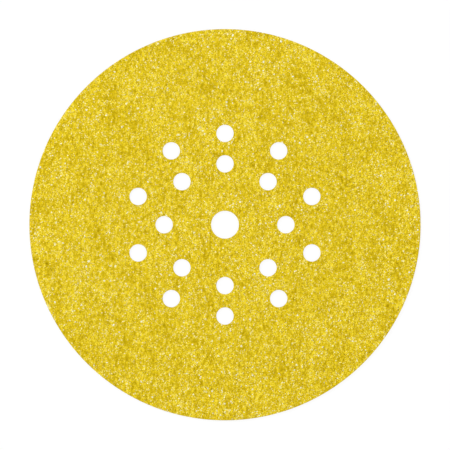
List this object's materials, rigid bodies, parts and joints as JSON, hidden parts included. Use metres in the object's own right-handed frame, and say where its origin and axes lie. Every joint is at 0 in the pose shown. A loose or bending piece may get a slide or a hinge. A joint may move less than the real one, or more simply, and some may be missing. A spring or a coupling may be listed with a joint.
{
  "type": "hook and loop sanding disc",
  "caption": "Round coarse-grit abrasive paper disc with a loop cloth back, a centre hole and two rings of dust extraction holes, for a long-reach wall sander.",
  "frame": {"origin": "centre of the disc on the lower face of the loop cloth", "axes": "+Z out of the abrasive face, +Y through a dust hole of each ring, +X to the right in the picture"},
  "size_m": [0.225, 0.225, 0.002],
  "materials": {
    "grain_coat": "yellow stearate-coated coarse grit, matte",
    "loop_cloth": "off-white brushed loop pile"
  },
  "bodies": {
    "root": {"abrasive_paper": "grain_coat", "loop_backing": "loop_cloth"}
  },
  "joints": []
}
